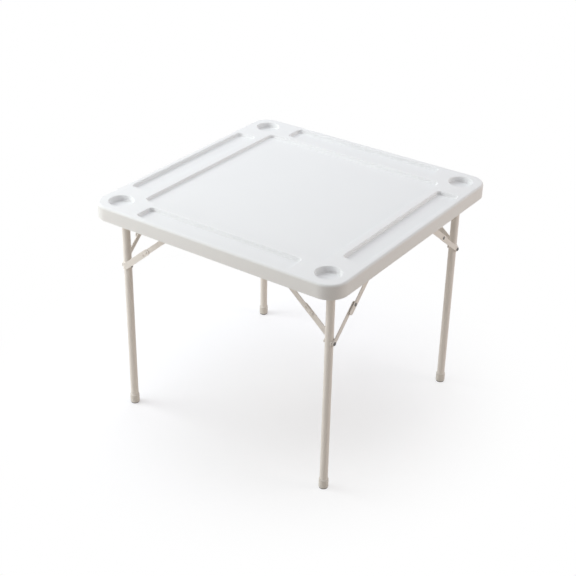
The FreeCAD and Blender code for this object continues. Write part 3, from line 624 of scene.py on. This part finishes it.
def bead_tree():
    """Geometry nodes for a rippled weld bead along each path of a mesh of edges."""
    tree, source, sink = node_tree(
        "Weld beads", "GeometryNodeTree",
        (("Geometry", "NodeSocketGeometry", None), ("Width", "NodeSocketFloat", 0.0022),
         ("Pitch", "NodeSocketFloat", 0.0014), ("Seed", "NodeSocketInt", 3),
         ("Finish", "NodeSocketMaterial", None)),
        (("Geometry", "NodeSocketGeometry"),))
    given = source.outputs
    path = add(tree, "GeometryNodeMeshToCurve", {"Mesh": given["Geometry"]})
    points = add(tree, "GeometryNodeCurveToPoints", {"Curve": path.outputs["Curve"],
                                                     "Length": given["Pitch"]}, mode="LENGTH").outputs
    drop = add(tree, "GeometryNodeMeshIcoSphere", {
        "Radius": math_node(tree, "MULTIPLY", given["Width"], 0.5), "Subdivisions": 2})
    swell = add(tree, "FunctionNodeRandomValue", {"Min": 0.86, "Max": 1.08, "Seed": given["Seed"]},
                data_type="FLOAT")
    size = pick(swell.outputs, "Value")
    scale = add(tree, "ShaderNodeCombineXYZ", {"X": size, "Y": size, "Z": 0.9})
    set_out(tree, source, sink, {"Points": points["Points"], "Instance": drop.outputs["Mesh"],
                                 "Rotation": points["Rotation"], "Scale": scale.outputs["Vector"]})
    return tree


def made_by_nodes(name, points, axes, edges, tree, values, material):
    """A piece whose mesh a geometry tree makes from points, their axes and the edges between them."""
    mesh = bpy.data.meshes.new(name + "_points")
    mesh.from_pydata([tuple(p) for p in points], edges, [])
    if axes:
        layer = mesh.attributes.new("axis", "FLOAT_VECTOR", "POINT")
        layer.data.foreach_set("vector", [part for axis in axes for part in axis])
    piece = linked(name, mesh)
    modifier = piece.modifiers.new(tree.name, "NODES")
    modifier.node_group = tree
    names = {item.name: item.identifier for item in tree.interface.items_tree if item.in_out == "INPUT"}
    for label, value in dict(values, Finish=material).items():
        modifier[names[label]] = value
    result = flattened(piece)
    piece.modifiers.clear()
    form = bmesh.new()
    form.from_mesh(result)
    bmesh.ops.remove_doubles(form, verts=form.verts, dist=FINE_MERGE_DISTANCE)
    bmesh.ops.recalc_face_normals(form, faces=form.faces)
    form.to_mesh(result)
    form.free()
    if not result.polygons:
        raise RuntimeError("%s came out empty" % name)
    result.name = name
    piece.data = result
    bpy.data.meshes.remove(mesh)
    shade(result, TURNED_CRISP_ANGLE)
    return piece


def dome(radius, height, start, rise, steps=6):
    """Profile points of a domed head, from its crown at start to its rim."""
    spots = []
    for step in range(steps + 1):
        angle = 0.5 * math.pi * step / steps
        drop = (height - height * HEAD_RIM) * (1.0 - math.cos(angle))
        spots.append((radius * math.sin(angle), start + rise * drop))
    return spots


def headed(length, head, height, shank, far_head=0.0, far_height=0.0):
    """Profile of a fastener: a domed head, a shank, and a far head or a chamfered tip."""
    spots = dome(head / 2, height, 0.0, 1.0) + [(head / 2, height), (shank / 2, height)]
    if far_head:
        spots += [(shank / 2, length - far_height), (far_head / 2, length - far_height)]
        spots += dome(far_head / 2, far_height, length, -1.0)[::-1]
    else:
        tip = shank * TIP_CHAMFER
        spots += [(shank / 2, length - tip), (shank / 2 - tip, length), (0.0, length)]
    return spots


def turned_set(node, spots, points, axes, material, recess=None):
    """Turned fasteners that stand for a CAD node of fasteners."""
    mesh = bpy.data.meshes.new(node + "_profile")
    mesh.from_pydata([(r, 0.0, z) for r, z in spots], [(i, i + 1) for i in range(len(spots) - 1)], [])
    profile = linked(node + "_profile", mesh)
    values = {"Profile": profile, "Sides": bpy.context.scene.game_table_fasteners.sides}
    values.update(recess or {})
    piece = made_by_nodes(node + "_turned", points, axes, [], group_of("Turned fasteners", turned_tree),
                          values, material)
    bpy.data.objects.remove(profile)
    bpy.data.meshes.remove(mesh)
    stands_for(piece, node)


class GAMETABLE_OT_finish_top(Operator):
    """Give the moulded top its matt plastic"""
    bl_idname = "gametable.finish_top"
    bl_label = "Moulded Top"

    def execute(self, context):
        look = context.scene.game_table_top
        plastic = finish_material("moulded_white_plastic", look.colour, roughness=look.roughness,
                                  grain=look.grain_size, depth=look.grain_depth, cloud=5.0, tone=0.012,
                                  spread=0.06, shine=0.25, stretch=2.0)
        eased("tabletop", "moulded_top", plastic, width=0.0)
        return {"FINISHED"}


class GAMETABLE_OT_finish_tubes(Operator):
    """Powder coat the legs and crossbars"""
    bl_idname = "gametable.finish_tubes"
    bl_label = "Tubes"

    def execute(self, context):
        look = context.scene.game_table_steel
        coat = finish_material("powder_coat_offwhite", look.coat_colour, roughness=0.46, grain=look.peel_size,
                               depth=look.peel_depth, cloud=14.0, tone=0.02, spread=0.07)
        for frame_name in FRAMES:
            eased(frame_name + "_crossbar", frame_name + "_crossbar_tube", coat, TUBE_EDGE)
            for side in SIDES:
                node = "%s_%s_leg" % (frame_name, side)
                eased(node, node + "_tube", coat, TUBE_EDGE)
        return {"FINISHED"}


class GAMETABLE_OT_ease_flat_steel(Operator):
    """Round the cut edges of straps, struts, links, rails, bearings and lugs, and coat them"""
    bl_idname = "gametable.ease_flat_steel"
    bl_label = "Flat Steel"

    def execute(self, context):
        look = context.scene.game_table_steel
        coat = finish("powder_coat_offwhite")
        grey = finish_material("powder_coat_bracket", look.bracket_colour, roughness=0.5,
                               grain=look.peel_size, depth=look.peel_depth, cloud=14.0, tone=0.03,
                               spread=0.08)
        rail_edge = look.edge_round * RAIL_EDGE_TIMES
        for frame_name in FRAMES:
            eased(frame_name + "_cross_rail", frame_name + "_cross_rail_coated", grey, rail_edge)
            for side in SIDES:
                stem = "%s_%s_" % (frame_name, side)
                for part in ("saddle_strap", "strut", "lower_brace_link", "upper_brace_link"):
                    eased(stem + part, stem + part + "_coated", coat, look.edge_round)
                for part in ("hinge_bearing", "brace_lug"):
                    eased(stem + part, stem + part + "_coated", grey, look.edge_round)
        for side in SIDES:
            eased(side + "_side_rail", side + "_side_rail_coated", grey, rail_edge)
        return {"FINISHED"}


class GAMETABLE_OT_set_fasteners(Operator):
    """Set the screws, rivets, pins, bolts and nuts"""
    bl_idname = "gametable.set_fasteners"
    bl_label = "Fasteners"

    def execute(self, context):
        look = context.scene.game_table_fasteners
        zinc = finish_material("zinc_plate", look.zinc_colour, roughness=0.36, grain=0.0009, depth=0.00001,
                               cloud=120.0, tone=0.10, spread=0.12, metal=1.0)
        dark = finish_material("dark_zinc_plate", look.dark_colour, roughness=0.40, grain=0.0009,
                               depth=0.00001, cloud=120.0, tone=0.12, spread=0.12, metal=1.0)
        coat = finish("powder_coat_offwhite")
        self.screws(look, zinc)
        self.rivets_and_pins(look, zinc)
        for frame_name in FRAMES:
            self.strut_rivets(frame_name + "_strut_rivets", look, coat)
        for frame_name in FRAMES:
            self.bolts(frame_name + "_leg_bolts", look, dark)
            self.nuts(frame_name + "_leg_nuts", look, coat)
        for frame_name in FRAMES:
            for side in SIDES:
                self.elbow("%s_%s_" % (frame_name, side), look, dark)
        return {"FINISHED"}

    def screws(self, look, zinc):
        for node in ("rail_screws", "bearing_screws"):
            boxes, size = measured(node)
            spots = headed(size[Z], size[X], look.screw_head_height, look.screw_shank)
            points = [(middle(box).x, middle(box).y, box[0].z) for box in boxes]
            cross = {"Recess Width": look.recess_width, "Recess Depth": look.screw_head_height * CROSS_DEPTH,
                     "Cross Span": size[X] * CROSS_SPAN}
            turned_set(node, spots, points, [(0.0, 0.0, 1.0)] * len(points), zinc, cross)

    def rivets_and_pins(self, look, zinc):
        boxes, size = measured("lug_rivets")
        spots = headed(size[X], size[Z], look.screw_head_height, look.screw_shank)
        turned_set("lug_rivets", spots, *self.along_x(boxes, inner_head=True), zinc)
        boxes, size = measured("brace_pivot_pins")
        spots = headed(size[X], size[Z], look.pin_head_height, look.bolt_shank, size[Z], look.pin_head_height)
        turned_set("brace_pivot_pins", spots, *self.along_x(boxes, inner_head=True), zinc)

    def strut_rivets(self, node, look, coat):
        boxes, size = measured(node)
        spots = headed(size[Y], size[Z], look.screw_head_height, look.screw_shank, size[Z],
                       look.screw_head_height)
        points = [(middle(box).x, box[0].y, middle(box).z) for box in boxes]
        turned_set(node, spots, points, [(0.0, 1.0, 0.0)] * len(points), coat)

    def bolts(self, node, look, dark):
        """Leg bolts, whose plain tip gives way to turns of thread."""
        boxes, size = measured(node)
        length, half = size[X], look.bolt_shank / 2
        spots = headed(length, size[Z], look.bolt_head_height, look.bolt_shank)[:-TIP_POINTS]
        place = length - THREAD_LENGTH
        while place + THREAD_PITCH < length - BOLT_TIP:
            spots += [(half, place), (half * THREAD_ROOT, place + THREAD_PITCH / 2)]
            place += THREAD_PITCH
        spots += [(half, place), (half - BOLT_TIP, length), (0.0, length)]
        socket = {"Recess Corners": 6, "Recess Width": look.socket_width,
                  "Recess Depth": look.bolt_head_height * SOCKET_DEPTH}
        turned_set(node, spots, *self.along_x(boxes, inner_head=False), dark, socket)

    def nuts(self, node, look, coat):
        boxes, size = measured(node)
        points = [middle(box) for box in boxes]
        values = {"Corners": max(size[Y], size[Z]), "Height": size[X], "Bore": look.bolt_shank + NUT_PLAY}
        piece = made_by_nodes(node + "_cut", points, [(1.0, 0.0, 0.0)] * len(points), [],
                              group_of("Hexagon nuts", nut_tree), values, coat)
        stands_for(piece, node)

    def elbow(self, stem, look, dark):
        """An elbow's rivet: a domed head outside, and a collar behind the upper link."""
        node = stem + "elbow_rivet"
        boxes, size = measured(node)
        low, high = boxes[0]
        length, head, height = size[X], size[Z] / 2, look.pin_head_height
        link = frame["nodes"][stem + "upper_brace_link"].data
        inner = min(abs(corner.co.x) for corner in link.vertices)
        ring = length - (inner - min(abs(low.x), abs(high.x)))
        shank, collar = look.bolt_shank / 2, look.collar / 2
        spots = dome(head, height, 0.0, 1.0)
        spots += [(head, height), (shank, height), (shank, ring), (collar, ring),
                  (collar, length - COLLAR_EASE), (collar - COLLAR_EASE, length), (0.0, length)]
        turned_set(node, spots, *self.along_x(boxes, inner_head=False), dark)

    def along_x(self, boxes, inner_head):
        """Head ends and axes of fasteners that lie along X, headed towards the middle or away from it."""
        points, axes = [], []
        for box in boxes:
            centre = middle(box)
            head = 1.0 if (centre.x > 0) != inner_head else -1.0
            points.append((box[1].x if head > 0 else box[0].x, centre.y, centre.z))
            axes.append((-head, 0.0, 0.0))
        return points, axes


class GAMETABLE_OT_lay_welds(Operator):
    """Lay the weld beads where legs and struts meet the crossbars"""
    bl_idname = "gametable.lay_welds"
    bl_label = "Weld Beads"

    def execute(self, context):
        look = context.scene.game_table_steel
        tree = group_of("Weld beads", bead_tree)
        coat = finish("powder_coat_offwhite")
        for frame_name in FRAMES:
            low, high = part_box(frame_name + "_crossbar")
            line, hinge, radius = (low.y + high.y) / 2, (low.z + high.z) / 2, (high.z - low.z) / 2
            points, edges = [], []
            for side in SIDES:
                leg_low, leg_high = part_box("%s_%s_leg" % (frame_name, side))
                centre, tube = (leg_low.x + leg_high.x) / 2, (leg_high.x - leg_low.x) / 2
                self.ring(points, edges, self.round_leg(centre, -OUTWARDS[side], tube, radius, line, hinge))
                strut_low, strut_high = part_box("%s_%s_strut" % (frame_name, side))
                inner = strut_high.x if side == "left" else strut_low.x
                seat = strut_high.z - hinge
                self.ring(points, edges, self.round_seat(inner + OUTWARDS[side] * seat, seat, OUTWARDS[side],
                                                         radius, line, hinge))
            piece = made_by_nodes(frame_name + "_weld_beads", points, [], edges, tree,
                                  {"Width": look.bead_width, "Pitch": look.bead_pitch}, coat)
            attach(piece, frame_name + "_frame")
        return {"FINISHED"}

    def ring(self, points, edges, path):
        """Add a closed path to the points and edges of the beads."""
        start = len(points)
        points.extend(path)
        count = len(path)
        edges.extend((start + i, start + (i + 1) % count) for i in range(count))

    def round_leg(self, centre, inwards, tube, radius, line, hinge, steps=64):
        """The line where a crossbar enters the inner side of a leg."""
        path = []
        for step in range(steps):
            angle = 2.0 * math.pi * step / steps
            across = radius * math.cos(angle)
            path.append((centre + inwards * math.sqrt(tube ** 2 - across ** 2), line + across,
                         hinge + radius * math.sin(angle)))
        return path

    def round_seat(self, spot, seat, near, radius, line, hinge, steps=48):
        """The line where a strut's round seat meets its crossbar."""
        path = []
        for step in range(steps):
            angle = 2.0 * math.pi * step / steps
            rise = seat * math.sin(angle)
            path.append((spot + seat * math.cos(angle), line + near * math.sqrt(radius ** 2 - rise ** 2),
                         hinge + rise))
        return path


class GAMETABLE_OT_finish_feet(Operator):
    """Give the foot caps and pads their plastic and rubber"""
    bl_idname = "gametable.finish_feet"
    bl_label = "Feet"

    def execute(self, context):
        look = context.scene.game_table_feet
        cap = finish_material("foot_cap_plastic", look.cap_colour, roughness=0.45, grain=0.0008,
                              depth=0.00003, cloud=20.0, tone=0.02, spread=0.06)
        rubber = finish_material("foot_pad_rubber", look.pad_colour, roughness=0.78, grain=0.0006,
                                 depth=0.00005, cloud=40.0, tone=0.12, spread=0.10, speck=(0.30, 0.29, 0.28))
        for frame_name in FRAMES:
            for side in SIDES:
                node = "%s_%s_foot_cap" % (frame_name, side)
                eased(node, node + "_moulded", cap, CAP_EDGE)
            eased(frame_name + "_foot_pads", frame_name + "_foot_pads_moulded", rubber, PAD_EDGE)
        return {"FINISHED"}


class GAMETABLE_OT_set_stage(Operator):
    """Set the floor, the light and the camera"""
    bl_idname = "gametable.set_stage"
    bl_label = "Stage"

    def execute(self, context):
        look = context.scene.game_table_stage
        self.floor(look)
        self.world(context, look)
        for name, power, size, place, colour in LAMPS:
            self.lamp(name, getattr(look, power), size, place, colour)
        self.camera(context, look)
        context.scene.view_settings.view_transform = "Standard"
        return {"FINISHED"}

    def floor(self, look):
        form = bmesh.new()
        bmesh.ops.create_circle(form, cap_ends=True, radius=FLOOR_RADIUS, segments=64)
        mesh = bpy.data.meshes.new("studio_floor")
        form.to_mesh(mesh)
        form.free()
        material = bpy.data.materials.new("studio_floor_paper")
        material.use_nodes = True
        tree = material.node_tree
        shader = tree.nodes["Principled BSDF"]
        seen = seen_directly(tree)
        paper = add(tree, "ShaderNodeMix", {"Factor": seen, "A": opaque(look.floor_colour), "B": PAPER_SEEN},
                    data_type="RGBA")
        feed(tree, shader, {"Base Color": pick(paper.outputs, "Result"), "Roughness": 0.9,
                            "Specular IOR Level": 0.1})
        # Seen directly, the paper is brightened towards white, all the way where it is far from the table.
        white = add(tree, "ShaderNodeEmission", {"Color": WHITE, "Strength": 1.0})
        place = add(tree, "ShaderNodeTexCoord").outputs["Object"]
        distance = add(tree, "ShaderNodeVectorMath", {0: place, 1: BRIGHTENING_MIDDLE}, operation="DISTANCE")
        far = add(tree, "ShaderNodeMapRange", dict(BRIGHTENING, Value=distance.outputs["Value"]),
                  interpolation_type="SMOOTHSTEP")
        share = math_node(tree, "MULTIPLY", seen, far.outputs["Result"])
        blend = add(tree, "ShaderNodeMixShader", {"Fac": share, 1: shader.outputs["BSDF"],
                                                  2: white.outputs["Emission"]})
        # From below, the floor can be seen through.
        clear = add(tree, "ShaderNodeBsdfTransparent")
        below = add(tree, "ShaderNodeNewGeometry").outputs["Backfacing"]
        sheet = add(tree, "ShaderNodeMixShader", {"Fac": below, 1: blend.outputs["Shader"],
                                                  2: clear.outputs["BSDF"]})
        feed(tree, tree.nodes["Material Output"], {"Surface": sheet.outputs["Shader"]})
        new_piece("studio_floor", mesh, material)

    def world(self, context, look):
        world = bpy.data.worlds.new("studio_room")
        context.scene.world = world
        world.use_nodes = True
        tree = world.node_tree
        room = tree.nodes["Background"]
        feed(tree, room, {"Color": opaque(look.room_colour)})
        white = add(tree, "ShaderNodeBackground", {"Color": WHITE, "Strength": 1.0})
        blend = add(tree, "ShaderNodeMixShader", {"Fac": seen_directly(tree), 1: room.outputs["Background"],
                                                  2: white.outputs["Background"]})
        feed(tree, tree.nodes["World Output"], {"Surface": blend.outputs["Shader"]})

    def lamp(self, name, power, size, place, colour):
        light = bpy.data.lights.new(name, "AREA")
        light.shape = "DISK"
        light.size = size
        light.energy = power
        light.color = colour
        lamp = linked(name, light)
        lamp.location = place
        lamp.rotation_euler = (Vector(LAMP_TARGET) - Vector(place)).to_track_quat("-Z", "Y").to_euler()

    def camera(self, context, look):
        lens = bpy.data.cameras.new("photo_camera")
        lens.sensor_width = SENSOR_WIDTH
        lens.sensor_fit = "HORIZONTAL"
        lens.lens = look.lens
        camera = linked("photo_camera", lens)
        back = Vector((math.sin(look.turn) * math.cos(look.tilt), -math.cos(look.turn) * math.cos(look.tilt),
                       math.sin(look.tilt)))
        right = Vector((math.cos(look.turn), math.sin(look.turn), 0.0))
        up = back.cross(right)
        across = right * math.cos(look.roll) + up * math.sin(look.roll)
        rise = up * math.cos(look.roll) - right * math.sin(look.roll)
        place = Vector((0.0, 0.0, CAD_BOX[1][Z]))
        for way, amount in zip((across, rise, back), look.reach):
            place += way * amount
        turn = Matrix((across, rise, back)).transposed()
        camera.matrix_world = Matrix.Translation(place) @ turn.to_4x4()
        context.scene.camera = camera


class GAMETABLE_PT_sidebar(Panel):
    """Lists the steps and their settings"""
    bl_label = "Game Table"
    bl_idname = "GAMETABLE_PT_sidebar"
    bl_space_type = "VIEW_3D"
    bl_region_type = "UI"
    bl_category = "Game Table"

    def draw(self, context):
        column = self.layout.column(align=True)
        for step in STEPS:
            column.operator(step.bl_idname)
        for name, kind in SETTINGS:
            box = self.layout.box()
            for key in kind.__annotations__:
                box.prop(getattr(context.scene, name), key)


SETTINGS = (
    ("game_table_top", GAMETABLE_PG_top),
    ("game_table_steel", GAMETABLE_PG_steel),
    ("game_table_fasteners", GAMETABLE_PG_fasteners),
    ("game_table_feet", GAMETABLE_PG_feet),
    ("game_table_stage", GAMETABLE_PG_stage),
)
STEPS = (
    GAMETABLE_OT_finish_top,
    GAMETABLE_OT_finish_tubes,
    GAMETABLE_OT_ease_flat_steel,
    GAMETABLE_OT_set_fasteners,
    GAMETABLE_OT_lay_welds,
    GAMETABLE_OT_finish_feet,
    GAMETABLE_OT_set_stage,
)


def register():
    for name, group in SETTINGS:
        bpy.utils.register_class(group)
        setattr(bpy.types.Scene, name, PointerProperty(type=group))
    for step in STEPS:
        bpy.utils.register_class(step)
    bpy.utils.register_class(GAMETABLE_PT_sidebar)


def unregister():
    bpy.utils.unregister_class(GAMETABLE_PT_sidebar)
    for step in reversed(STEPS):
        bpy.utils.unregister_class(step)
    for name, group in reversed(SETTINGS):
        delattr(bpy.types.Scene, name)
        bpy.utils.unregister_class(group)


def main():
    register()
    bpy.ops.gametable.finish_top()
    bpy.ops.gametable.finish_tubes()
    bpy.ops.gametable.ease_flat_steel()
    bpy.ops.gametable.set_fasteners()
    bpy.ops.gametable.lay_welds()
    bpy.ops.gametable.finish_feet()
    bpy.ops.gametable.set_stage()


if __name__ == "__main__":
    main()
